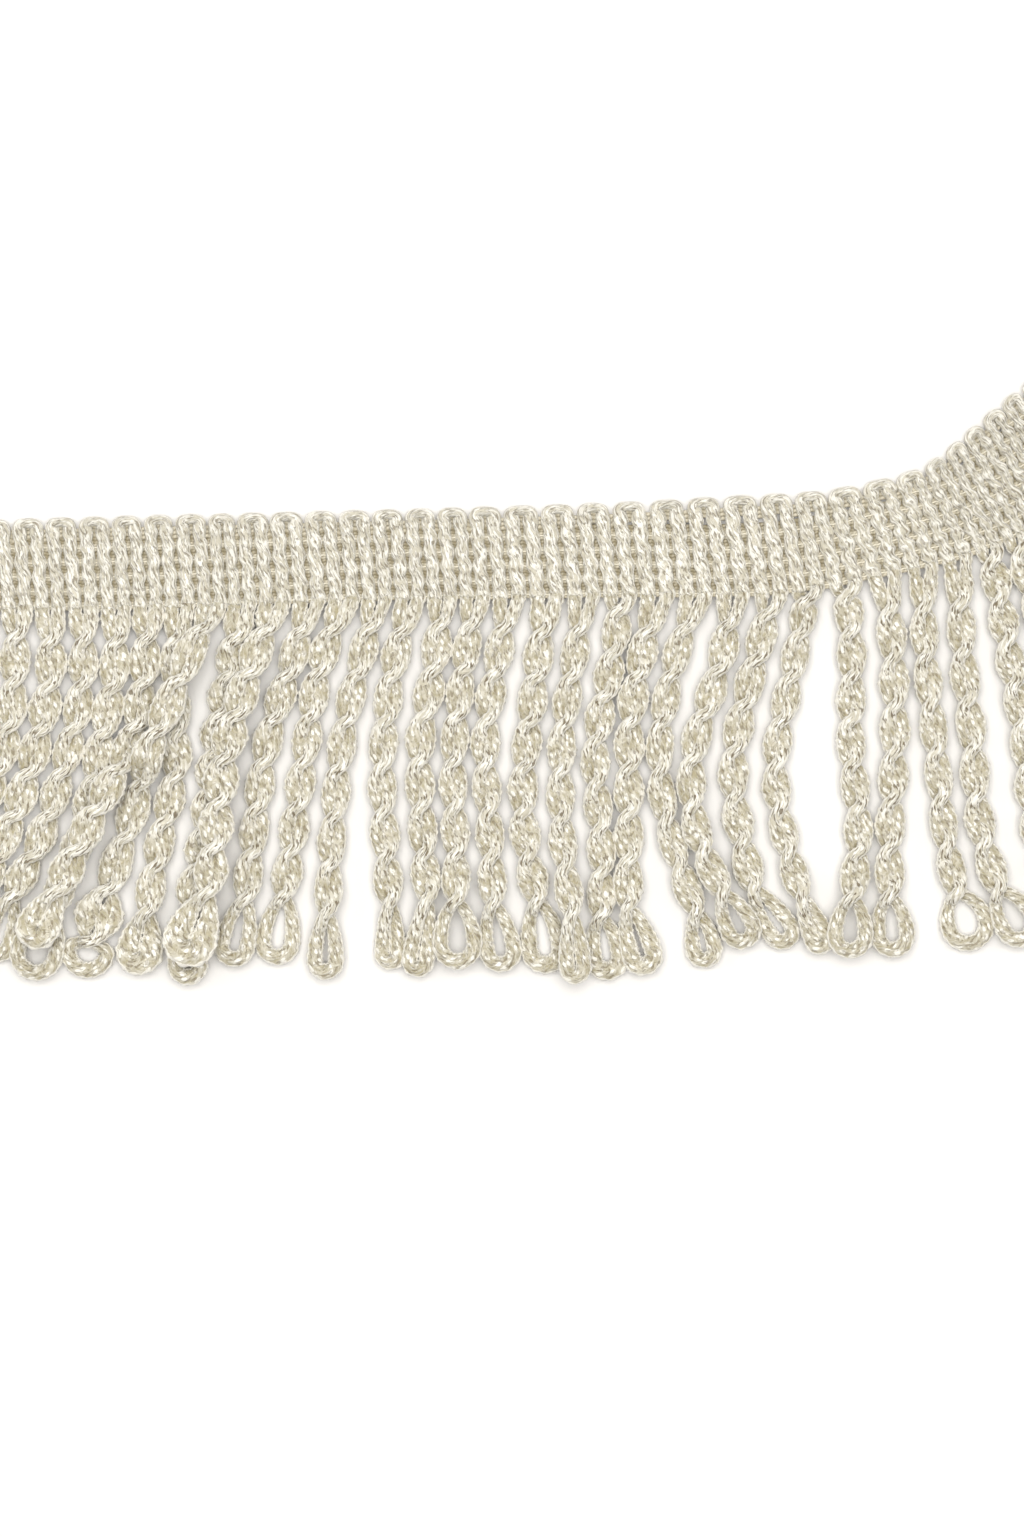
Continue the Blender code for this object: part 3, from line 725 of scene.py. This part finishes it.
def stitch_height(column, stitch):
    """The knit's relief from 0 to 1: a cosine along the cord, slanted by the distance from the
    middle of the column of stitches, and low in that middle and between two columns."""
    off_middle = 2 * np.abs((column + 0.5) % 1.0 - 0.5)
    crest = 0.5 + 0.5 * np.cos(2 * np.pi * (stitch + SLANT * off_middle))
    return crest * (VALLEY_RELIEF + RIDGE_RELIEF * np.sin(np.pi * off_middle))


def tube_grid(line, length):
    """Rings of points round the line, and each ring's first column and its stitch. A ring is an
    ellipse of the line's two radii, raised by the stitches and by a product of three slow sines.
    The stitch columns turn slowly round the cord."""
    along, up, side = line_frame(line[:, :3])
    share = np.arange(AROUND) / AROUND
    column = COLUMNS_OF_STITCHES * share[None, :] + (SLOW_TURN * length / STITCH_LENGTH)[:, None]
    stitch = (length / STITCH_LENGTH)[:, None] * np.ones(AROUND)
    uneven = np.prod([np.sin(length * wave + start) for wave, start in UNEVEN_WAVES], axis=0)
    relief = STITCH_RELIEF * between(HEADING_RELIEF, 1.0, line[:, IN_SKIRT, None])
    raised = 1 + relief * (stitch_height(column, stitch) - 0.5) + UNEVEN * uneven[:, None]
    angle = 2 * np.pi * share
    upwards = (line[:, TALL, None] * raised * np.cos(angle))[:, :, None] * up[:, None, :]
    sideways = (line[:, WIDE, None] * raised * np.sin(angle))[:, :, None] * side[:, None, :]
    return line[:, None, :3] + upwards + sideways, column[:, 0], stitch[:, 0]


print("one stitch is", STITCH_LENGTH, "mm long and", round(np.pi * LOOP_WIDE / 2, 2), "mm wide")

# %% [markdown]
# ## From a grid to a mesh
# A piece may hold many separate runs of cord. The rings of each run are joined by four-sided faces,
# and its two ends are closed. Whole arrays of corner numbers are worked out at once and handed to
# the mesh, which takes a moment for half a million faces. The UV map counts columns of stitches
# around the cord and stitches along it. Soft yarn flattens where it rests, so a point that would lie
# below the floor is eased up to just above it.

# %% Build one mesh from many runs
SETTLE = 0.06


def new_object(name, data):
    """An object of the scene with this data, at the origin."""
    thing = bpy.data.objects.new(name, data)
    bpy.context.scene.collection.objects.link(thing)
    return thing


def settle(grid):
    """The underside flattened on the floor: a height z becomes the mean of z and the root of the
    sum of its square and that of SETTLE. It is never below 0, and large heights stay as they are."""
    height = grid[:, :, 2:]
    settled = (height + np.sqrt(height**2 + SETTLE**2)) / 2
    return np.concatenate([grid[:, :, :2], settled], axis=2)


def tube_faces(ring_runs, around):
    """Corner numbers of all faces: four for each step of each run, and a whole ring at each end."""
    column = np.arange(around)
    rings = np.concatenate([np.arange(a, b - 1) for a, b in ring_runs])
    ring = np.stack([rings, rings, rings + 1, rings + 1], axis=1)[:, None, :]
    step = np.array([0, 1, 1, 0])[None, None, :]
    ring = np.broadcast_to(ring, (len(rings), around, 4))
    turn = np.broadcast_to(column[None, :, None] + step, ring.shape)
    firsts = np.array([a for a, b in ring_runs])
    lasts = np.array([b - 1 for a, b in ring_runs])
    cap_ring = np.concatenate([np.repeat(firsts, around), np.repeat(lasts, around)])
    cap_turn = np.concatenate([np.tile(column[::-1], len(firsts)), np.tile(column, len(lasts))])
    corner_ring = np.concatenate([ring.ravel(), cap_ring])
    corner_turn = np.concatenate([turn.ravel(), cap_turn])
    sizes = np.concatenate([np.full(ring.size // 4, 4), np.full(2 * len(ring_runs), around)])
    return corner_ring, corner_turn, sizes


def tube_object(name, grid, ring_runs, columns, around_first, along, light_share):
    """A mesh object of tubes: grid is rings by points, and the rest are values for each ring. Its
    edge value is the size of the sine round the ring, so 0 on top and 1 at the cord's two sides."""
    around = grid.shape[1]
    corner_ring, corner_turn, sizes = tube_faces(ring_runs, around)
    mesh = bpy.data.meshes.new(name)
    mesh.vertices.add(grid.shape[0] * around)
    mesh.vertices.foreach_set("co", (settle(grid) * MM).ravel())
    mesh.loops.add(len(corner_ring))
    mesh.loops.foreach_set("vertex_index", corner_ring * around + corner_turn % around)
    mesh.polygons.add(len(sizes))
    mesh.polygons.foreach_set("loop_start", np.concatenate([[0], np.cumsum(sizes)[:-1]]))
    mesh.update(calc_edges=True)
    mesh.shade_smooth()
    column = around_first[corner_ring] + columns * corner_turn / around
    uv = np.stack([column, along[corner_ring]], axis=1)
    mesh.uv_layers.new(name="stitches").uv.foreach_set("vector", uv.ravel())
    # The edge value marks the cord's two sides, where the yarn's finish paints a rim highlight.
    edge = np.abs(np.sin(2 * np.pi * np.arange(around) / around))
    # Each ring's share of painted light goes into the mesh, where the yarn's finish reads it.
    values = {"painted_light": np.repeat(light_share, around), "edge": np.tile(edge, len(light_share))}
    for label, value in values.items():
        mesh.attributes.new(label, "FLOAT", "POINT").data.foreach_set("value", value)
    print(name, "has", len(mesh.vertices), "points and", int((sizes - 2).sum()), "triangles")
    return new_object(name, mesh)


# %% [markdown]
# ## Cut the cord into pieces
# The heading's runs and the skirt's runs take the place of two CAD nodes, so they are separate
# pieces. The cord is cut where it crosses the heading's lower edge, and both sides keep the ring at
# the cut, so nothing shows. The skirt is shared among four pieces to keep each one light.

# %% The heading's cord and the skirt's cord
SKIRT_PIECES = 4


def cord_runs(in_skirt):
    """First and last ring of each run of cord that is, or isn't, in the skirt."""
    changes = np.flatnonzero(np.diff(in_skirt.astype(int))) + 1
    firsts = np.concatenate([[0], changes])
    lasts = np.concatenate([changes, [len(in_skirt) - 1]])
    return [(a, b + 1) for a, b in zip(firsts, lasts)]


def runs_of(counts):
    """First ring and end of each run, where runs with these counts of rings follow one another."""
    ends = np.cumsum(counts)
    return list(zip(np.concatenate([[0], ends[:-1]]), ends))


def cord_piece(name, runs):
    """One piece made of these runs of the whole cord."""
    rings = np.concatenate([np.arange(a, b) for a, b in runs])
    return tube_object(
        name, cord_grid[rings], runs_of([b - a for a, b in runs]), COLUMNS_OF_STITCHES,
        cord_column[rings], cord_stitch[rings], cord[rings, PAINTED_LIGHT],
    )


cord_grid, cord_column, cord_stitch = tube_grid(cord, cord_length)
in_skirt = cord[:, IN_SKIRT] > 0.5
runs = cord_runs(in_skirt)
heading_runs = [run for run in runs if not in_skirt[run[0]]]
skirt_runs = [run for run in runs if in_skirt[run[0]]]
heading_cord = cord_piece("heading_cord", heading_runs)
skirt_cords = [
    cord_piece(f"skirt_cord_{i + 1}", [skirt_runs[j] for j in part])
    for i, part in enumerate(np.array_split(np.arange(len(skirt_runs)), SKIRT_PIECES))
]

# %% [markdown]
# ## The threads that hold the ribs
# Threads run along the heading in rows and hold the ribs side by side. Most of each is hidden in the
# cord: what shows are short bars deep between two ribs, with a small dark hole from row to row. Two
# thick threads in each row pass low and weave, by a cosine of the rib count in height, partly in
# painted shade, and a fine one, painted lit, passes above them. Two slack ones, coloured all in painted
# shade, lie under the ribs between two rows and close the holes, so the holes look dark. Three more,
# partly in painted shade, follow the scallops. The heading widens towards its bent end, so the last
# rows start where there is room for them.

# %% The table of threads
# The last column is each thread's share of painted light: low, as painted shade, for the slack and the
# deep ones, and high, as a painted highlight, for the fine one on top.
THREAD_COLUMNS = ("radius", "beside_row", "middle", "weave", "light_share")
THREADS = (
    (0.28, -0.27, 0.5, 0.15, 0.28),
    (0.28, 0.27, 0.5, -0.15, 0.28),
    (0.12, 0.0, 0.85, 0.08, 0.7),
    (0.3, 0.7, 0.32, 0.0, 0.0),
    (0.3, 1.2, 0.32, 0.0, 0.0),
)
TOP_THREADS = (
    (0.3, -0.9, 0.45, 0.0, 0.3),
    (0.3, -0.35, 0.45, 0.0, 0.3),
    (0.3, 0.2, 0.45, 0.0, 0.3),
)
MOST_ROWS = 9
SCALLOP = 0.25
HOLLOW = 1.0
SWAY = 0.06
SWAY_STEP = 3.4
END_REACH = 0.45
THREAD_SAMPLES = 40
FEWEST_SAMPLES = 9


def thread_line(place, up, thread):
    """One thread: its height up the heading, and a cosine of the rib count above the floor."""
    ribs = 2 * place - 0.5
    points = heading_point(place, up)
    height = between(thread["middle"], thread["middle"] + PLY_ABOVE, root_rise(-up))
    height = height + thread["weave"] * np.cos(np.pi * ribs)
    radius = thread["radius"]
    return stretch(points, height, radius, radius, thread["light_share"], 0.0)


def thread_lines():
    """The threads of every row, each from where the heading is wide enough for it, and of the top."""
    first = strands[0]["strand"] - 0.5 - END_REACH
    last = strands[-1]["strand"] + 0.5 + END_REACH
    place = np.linspace(first, last, THREAD_SAMPLES * len(strands))
    top = arc_start(place)
    lines = []
    for number in range(MOST_ROWS):
        row_up = FIRST_ROW + ROW_PITCH * number
        too_low = np.flatnonzero(top - HOLLOW < row_up)
        start = too_low[-1] + 1 if len(too_low) else 0
        if start > len(place) - FEWEST_SAMPLES:
            continue
        sway = SWAY * np.sin(SWAY_STEP * place[start:] + number)
        for thread in rows(THREAD_COLUMNS, THREADS):
            lines.append(thread_line(place[start:], row_up + thread["beside_row"] + sway, thread))
    scallop = SCALLOP * np.cos(2 * np.pi * place)
    for thread in rows(THREAD_COLUMNS, TOP_THREADS):
        lines.append(thread_line(place, top + thread["beside_row"] - scallop, thread))
    return lines


print("the heading holds", len(thread_lines()), "threads")

# %% [markdown]
# ## One piece of all the threads
# A thread is round and plain, so six points around it are enough. The function for the cord joins
# its rings too, and its own UV map counts turns of its twist.

# %% Weave the threads
THREAD_STEP = 0.36
THREAD_AROUND = 6
THREAD_TURN = 0.7


def make_threads():
    """All the threads as one piece: round rings at equal steps of each thread's line."""
    read = [even_steps(line, THREAD_STEP) for line in thread_lines()]
    lines = [line for line, length in read]
    length = np.concatenate([length for line, length in read])
    frames = [np.stack(line_frame(line[:, :3])) for line in lines]
    up, side = np.concatenate(frames, axis=1)[1:, :, None, :]
    line = np.concatenate(lines)
    angle = 2 * np.pi * np.arange(THREAD_AROUND)[None, :, None] / THREAD_AROUND
    ring = np.cos(angle) * up + np.sin(angle) * side
    grid = line[:, None, :3] + line[:, WIDE, None, None] * ring
    return tube_object(
        "heading_threads", grid, runs_of([len(line) for line in lines]), 1, np.zeros(len(line)),
        length / THREAD_TURN, line[:, PAINTED_LIGHT],
    )


heading_threads = make_threads()

# %% [markdown]
# ## A short way to write materials
# A procedural material is a net of small nodes, and each takes two or three lines to add and join.
# A class with a method for each kind of step keeps the next cells down to what they mean.

# %% Add and join shader nodes


class Nodes:
    """A new material, and a short way to add its nodes and to join them."""

    def __init__(self, name):
        self.material = bpy.data.materials.new(name)
        self.material.use_nodes = True
        self.tree = self.material.node_tree
        self.shader = self.tree.nodes["Principled BSDF"]

    def set(self, values):
        """Set values that are the same all over on the shader's own sockets."""
        for name, value in values.items():
            self.shader.inputs[name].default_value = value

    def put(self, socket, value):
        """Set a socket to a value, or join it to another node's output."""
        if isinstance(value, bpy.types.NodeSocket):
            self.tree.links.new(value, socket)
        else:
            socket.default_value = value

    def add(self, kind, inputs=(), **settings):
        """A node with its settings; inputs maps a socket to a value or to another node's output."""
        node = self.tree.nodes.new(kind)
        for name, value in settings.items():
            setattr(node, name, value)
        for name, value in dict(inputs).items():
            self.put(node.inputs[name], value)
        return node

    def math(self, operation, *values):
        """A Math node's output."""
        return self.add("ShaderNodeMath", dict(enumerate(values)), operation=operation).outputs[0]

    def plane(self, kind, one, one_scale, two, two_scale, **inputs):
        """A texture node that reads two numbers, each times its scale, as a place in a plane."""
        place = self.add("ShaderNodeCombineXYZ", {
            0: self.math("MULTIPLY", one, one_scale),
            1: self.math("MULTIPLY", two, two_scale),
        })
        return self.add(kind, {"Vector": place.outputs[0], "Scale": 1.0, **inputs})

    def ramp(self, value, low, high):
        """0 at the value low, 1 at high, and a soft step between them."""
        inputs = {"Value": value, "From Min": low, "From Max": high}
        return self.add("ShaderNodeMapRange", inputs, interpolation_type="SMOOTHSTEP").outputs[0]

    def mix(self, share, one, two):
        """A mix of two colours."""
        return self.add("ShaderNodeMix", {0: share, 6: one, 7: two}, data_type="RGBA").outputs[2]

    def uv_numbers(self):
        """The two numbers of the UV map: around the cord and along it."""
        uv = self.add("ShaderNodeUVMap", uv_map="stitches")
        split = self.add("ShaderNodeSeparateXYZ", {0: uv.outputs[0]})
        return split.outputs[0], split.outputs[1]

    def attribute(self, name):
        """The mesh's own value of that name."""
        return self.add("ShaderNodeAttribute", attribute_name=name).outputs["Fac"]

    def surface(self, colour, height, strength, depth, gloss):
        """The material, with its colour and bump joined and its gloss set on the shader."""
        relief = self.add("ShaderNodeBump", {"Height": height, "Strength": strength, "Distance": depth})
        self.put(self.shader.inputs["Base Color"], colour)
        self.put(self.shader.inputs["Normal"], relief.outputs[0])
        self.set(gloss)
        return self.material


print("the node helpers are ready")

# %% [markdown]
# ## Painted glints and painted shade in the yarn
# The yarn's fine, bright filaments lie flat here and there and catch the light, and those glints are
# painted into its colour. From near by that is a play of small marks: painted highlights as drops with
# a pale facet round each, grain along the legs of the stitches, patches like crushed foil and long
# strokes, and dark ticks, painted shade where one sees between the filaments. Cells give drops and
# facets, and stretched noise gives the rest. They read the UV map, so they follow the cord wherever it
# twists. A noise's row holds its scales along and across the cord, its detail, and the two values
# between which it fades in.

# %% Painted glints: drops, facets, grain, foil and strokes; painted shade: ticks
LEAN = 0.1
DROP_ALONG = 0.62
DROP_ACROSS = 1.7
DROP_CHANCE = 0.9
DROP_EDGE = (0.3, 0.2)
FACET_EDGE = (0.6, 0.3)
GLINT_GRAIN = (4.2, 1.5, 2.0, 0.38, 0.66)
SHADE_TICKS = (1.0, 4.2, 1.0, 0.555, 0.63)
GLINT_FOIL = (3.3, 4.6, 2.0, 0.43, 0.58)
GLINT_STROKES = (0.6, 3.6, 2.0, 0.45, 0.55)


def noise(nodes, along, across, look):
    """Soft noise of two numbers, drawn out to a range from 0 to 1."""
    along_scale, across_scale, detail, low, high = look
    kind = "ShaderNodeTexNoise"
    node = nodes.plane(kind, along, along_scale, across, across_scale, Detail=detail)
    return nodes.ramp(node.outputs[0], low, high)
# Soft noise of two numbers, stretched out to a range from 0 to 1.


def yarn_glints_and_shade(nodes):
    """The painted glints and the painted shade of the ticks by name, each from 0 to 1. Slanted follows
    the V of the stitches, and leaning is the column plus a small share of the stitch, so that the marks
    lean a little."""
    column, stitch = nodes.uv_numbers()
    off_middle = nodes.math("MULTIPLY", nodes.math("PINGPONG", column, 0.5), 2.0)
    slanted = nodes.math("MULTIPLY_ADD", off_middle, SLANT, stitch)
    leaning = nodes.math("MULTIPLY_ADD", stitch, LEAN, column)
    cells = nodes.plane(
        "ShaderNodeTexVoronoi", stitch, DROP_ALONG, leaning, DROP_ACROSS, Randomness=DROP_CHANCE,
    )
    cells.voronoi_dimensions = "2D"
    # The drops, facets, grain, foil and strokes are painted glints, and the ticks are painted shade.
    return {
        "glint_drops": nodes.ramp(cells.outputs["Distance"], *DROP_EDGE),
        "glint_facets": nodes.ramp(cells.outputs["Distance"], *FACET_EDGE),
        "glint_grain": noise(nodes, slanted, column, GLINT_GRAIN),
        "shade_ticks": noise(nodes, stitch, leaning, SHADE_TICKS),
        "glint_foil": noise(nodes, stitch, column, GLINT_FOIL),
        "glint_strokes": noise(nodes, stitch, leaning, GLINT_STROKES),
    }


print("a drop is about", round(STITCH_LENGTH / DROP_ALONG, 1), "mm from the next one along the cord")

# %% [markdown]
# ## A silky yarn
# The yarn is a greenish beige, which the painted glints turn towards white, each by its own share.
# Where a ply lies low, at a bulge or beneath a crossing, its painted light is low and the beige shows
# between the drops, and the ply that lies on top at a crossing is a painted highlight, nearly white,
# with long strokes. A painted highlight runs as a pale rim along the cord's two sides, where the light
# grazes it, and the painted shade of the ticks goes on last. In the heading the pressed cord has
# painted glints in patches like crushed foil, so there the shares differ. The same numbers make the
# bump: the white parts stand up, and the ticks are cuts.

# %% The yarn's finish
# Beige is the yarn's own colour. The white is the colour of its painted glints and highlights, and the
# tick colour is that of its painted shade.
BEIGE = (0.397, 0.342, 0.196, 1.0)
HIGHLIGHT_WHITE = (0.98, 0.95, 0.86, 1.0)
TICK_SHADE = (0.17, 0.125, 0.06, 1.0)
LIT_RAMP = (0.44, 0.78)
LIT_WHITE = 0.45
LIT_STROKES = 0.55
RIM_HIGHLIGHT = (0.72, 0.88)
BASE_TICK_SHADE = 0.55
LIT_TICK_SHADE = 0.45
GLINT_GRAIN_BUMP = 0.4
YARN_DEPTH = 0.0002
SKIRT_BUMP = 0.8
HEADING_BUMP = 0.9
YARN_GLOSS = {
    "Roughness": 0.24, "Specular IOR Level": 0.8, "Sheen Weight": 0.5, "Sheen Roughness": 0.3,
}
# Shares of each painted glint, of the ticks' painted shade and of the rim's painted highlight.
SKIRT_SHARES = {
    "plain": 0.04, "glint_facets": 0.18, "glint_grain": 0.18, "glint_foil": 0.08, "glint_strokes": 0.18, "shade_ticks": 0.9,
    "rim_highlight": 0.95,
}
HEADING_SHARES = {
    "plain": 0.16, "glint_facets": 0.0, "glint_grain": 0.08, "glint_foil": 0.75, "glint_strokes": 0.0, "shade_ticks": 0.6,
    "rim_highlight": 0.3,
}


def silky_yarn(name, shares, bump):
    """Beige, mixed with the white of painted glints and highlights and then with the painted shade of
    the ticks.

    The share of white goes from the low ply's to the lit ply's with the mesh's painted light. The low
    ply's share is the sum of the shared glints, or the drops where they are more, and the lit ply's is
    a base and a share of the strokes. The painted highlight of the rim takes over where it is more. The
    ticks' painted shade is stronger where the painted light is high.
    """
    nodes = Nodes(name)
    painted_marks = yarn_glints_and_shade(nodes)
    shaded_white = shares["plain"]
    for part in ("glint_facets", "glint_grain", "glint_foil", "glint_strokes"):
        shaded_white = nodes.math("MULTIPLY_ADD", painted_marks[part], shares[part], shaded_white)
    shaded_white = nodes.math("MAXIMUM", painted_marks["glint_drops"], shaded_white)
    light_share = nodes.math("MULTIPLY_ADD", painted_marks["glint_strokes"], LIT_STROKES, LIT_WHITE)
    # Painted light: a ply on top at a crossing is painted as a highlight, and one beneath is left in
    # painted shade.
    lit = nodes.ramp(nodes.attribute("painted_light"), *LIT_RAMP)
    highlight_share = nodes.math("MULTIPLY_ADD", lit, nodes.math("SUBTRACT", light_share, shaded_white), shaded_white)
    # Painted highlight along the cord's two sides.
    rim_highlight = nodes.math("MULTIPLY", nodes.ramp(nodes.attribute("edge"), *RIM_HIGHLIGHT), shares["rim_highlight"])
    highlight_share = nodes.math("MAXIMUM", highlight_share, rim_highlight)
    # Painted shade in the ticks between the filaments, stronger where the painted light is high.
    tick_shade = nodes.math("MULTIPLY", nodes.math("SUBTRACT", painted_marks["shade_ticks"], rim_highlight), shares["shade_ticks"])
    tick_shade_share = nodes.math("MULTIPLY_ADD", lit, LIT_TICK_SHADE, BASE_TICK_SHADE)
    tick_shade = nodes.math("MAXIMUM", nodes.math("MULTIPLY", tick_shade, tick_shade_share), 0.0)
    colour = nodes.mix(tick_shade, nodes.mix(highlight_share, BEIGE, HIGHLIGHT_WHITE), TICK_SHADE)
    height = nodes.math("MULTIPLY_ADD", painted_marks["glint_grain"], GLINT_GRAIN_BUMP, highlight_share)
    height = nodes.math("SUBTRACT", height, tick_shade)
    return nodes.surface(colour, height, bump, YARN_DEPTH, YARN_GLOSS)


skirt_yarn = silky_yarn("silky_yarn_skirt", SKIRT_SHARES, SKIRT_BUMP)
heading_yarn = silky_yarn("silky_yarn_heading", HEADING_SHARES, HEADING_BUMP)
print("materials:", skirt_yarn.name, "and", heading_yarn.name)

# %% [markdown]
# ## The thread's material
# The thread is plain spun yarn, cream where its share of painted light is high, and darker, in painted
# shade, where it lies deep or slack under the ribs. Its twist is a slanting stripe: a sine of the turn
# around it plus the turns along it, painted darker in the groove as painted shade and raised as a bump
# on the ridge.

# %% The thread's finish
CREAM = (0.93, 0.88, 0.74, 1.0)
# The darker colour is painted shade for the deep and the slack threads.
THREAD_SHADE = (0.32, 0.275, 0.175, 1.0)
RIDGE_CREAM = 0.15
LEAST_CREAM = 0.1
RIDGE_BUMP = 0.6
RIDGE_DEPTH = 0.00005
THREAD_GLOSS = {"Roughness": 0.45}


def thread_yarn():
    """Thread from painted shade to cream, with the slanting ridges of its own twist and painted shade
    in their grooves.
    """
    nodes = Nodes("fine_thread")
    around, along = nodes.uv_numbers()
    turn = nodes.math("ADD", around, along)
    ridge = nodes.math("SINE", nodes.math("MULTIPLY", turn, 2 * np.pi))
    # Painted shade: the thread is darker in the twist's groove and where its painted light is low.
    shade = nodes.math("MULTIPLY_ADD", ridge, RIDGE_CREAM, LEAST_CREAM)
    shade = nodes.math("ADD", shade, nodes.attribute("painted_light"))
    return nodes.surface(nodes.mix(shade, THREAD_SHADE, CREAM), ridge, RIDGE_BUMP, RIDGE_DEPTH, THREAD_GLOSS)


heading_threads.data.materials.append(thread_yarn())
heading_cord.data.materials.append(heading_yarn)
for piece in skirt_cords:
    piece.data.materials.append(skirt_yarn)
print("every piece has its finish")

# %% [markdown]
# ## Join the pieces to the frame
# The fringe has one body, because nothing in it is rigid against the rest. Each piece rides on it and
# stands for its CAD node.

# %% Ride and replace
for piece in (heading_cord, heading_threads):
    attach(piece, "root")
    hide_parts("heading")
for piece in skirt_cords:
    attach(piece, "root")
    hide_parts("skirt")
print("pieces:", [piece.name for piece in (heading_cord, heading_threads, *skirt_cords)])

# %% [markdown]
# ## The floor and the light
# The trim lies on a plain pale surface, in a soft light that leaves only faint grey between the
# strands. A sky lights it from all round, a large lamp above throws soft shadows, and four weak ones
# round the trim add glints on the yarn's sides.

# %% Floor, sky and lamps
FLOOR_HALF = 1.5
FLOOR_DROP = 0.0001
FLOOR_FINISH = {
    "Base Color": (0.85, 0.838, 0.825, 1.0), "Roughness": 0.9, "Specular IOR Level": 0.1,
}
SKY = 0.27
SKY_COLOUR = (1.0, 0.977, 0.947, 1.0)
LAMP_AIM = (0.0, -0.02, 0.0)
LAMPS = (
    ("lamp_above", (0.0, 0.05, 0.95), 0.85, 9.4, (1.0, 0.99, 0.97)),
    ("lamp_left", (-0.7, 0.1, 0.45), 0.3, 1.1, (1.0, 0.985, 0.96)),
    ("lamp_right", (0.7, 0.0, 0.45), 0.3, 0.7, (1.0, 0.985, 0.96)),
    ("lamp_back", (0.05, 0.7, 0.45), 0.3, 1.1, (1.0, 0.985, 0.96)),
    ("lamp_front", (-0.1, -0.75, 0.45), 0.3, 0.5, (1.0, 0.985, 0.96)),
)


def make_floor():
    """A square of pale floor just under the trim."""
    mesh = bpy.data.meshes.new("floor")
    turns = ((-1, -1), (1, -1), (1, 1), (-1, 1))
    corners = [(FLOOR_HALF * x, FLOOR_HALF * y, -FLOOR_DROP) for x, y in turns]
    mesh.from_pydata(corners, [], [(0, 1, 2, 3)])
    nodes = Nodes("floor")
    nodes.set(FLOOR_FINISH)
    mesh.materials.append(nodes.material)
    return new_object("floor", mesh)


def make_lamp(name, place, size, power, colour):
    """A square lamp, tilted and turned by the angles that make it look at the aim."""
    data = bpy.data.lights.new(name, "AREA")
    data.size = size
    data.energy = power
    data.color = colour
    lamp = new_object(name, data)
    lamp.location = place
    aim = np.array(LAMP_AIM) - np.array(place)
    tilt = float(np.arctan2(np.hypot(aim[0], aim[1]), -aim[2]))
    lamp.rotation_euler = (tilt, 0.0, float(np.arctan2(aim[1], aim[0]) - np.pi / 2))
    return lamp


world = bpy.data.worlds.new("studio")
bpy.context.scene.world = world
world.use_nodes = True
sky = world.node_tree.nodes["Background"].inputs
sky["Color"].default_value = SKY_COLOUR
sky["Strength"].default_value = SKY
make_floor()
lamps = [make_lamp(*row) for row in LAMPS]
bpy.context.scene.view_settings.view_transform = "Standard"
print("the stage has a floor, a sky and", len(lamps), "lamps")

# %% [markdown]
# ## The camera
# The photograph looks straight down on the trim. Its frame is 1024 pixels wide and 1536 high, and
# shows 200 mm from top to bottom. A long lens keeps the view flat.

# %% Look straight down
PIXEL = 0.1304
FRAME_HEIGHT = 1536 * PIXEL
FRAME_MIDDLE = (0.0, -28.0)
LENS = 100.0
SENSOR = 36.0
camera_data = bpy.data.cameras.new("camera")
camera_data.lens = LENS
camera_data.sensor_fit = "VERTICAL"
camera_data.sensor_height = SENSOR
camera_data.sensor_width = SENSOR
camera = new_object("camera", camera_data)
camera.location = (FRAME_MIDDLE[0] * MM, FRAME_MIDDLE[1] * MM, FRAME_HEIGHT * LENS / SENSOR * MM)
bpy.context.scene.camera = camera
print("the camera stands", round(camera.location.z, 3), "m above the floor")
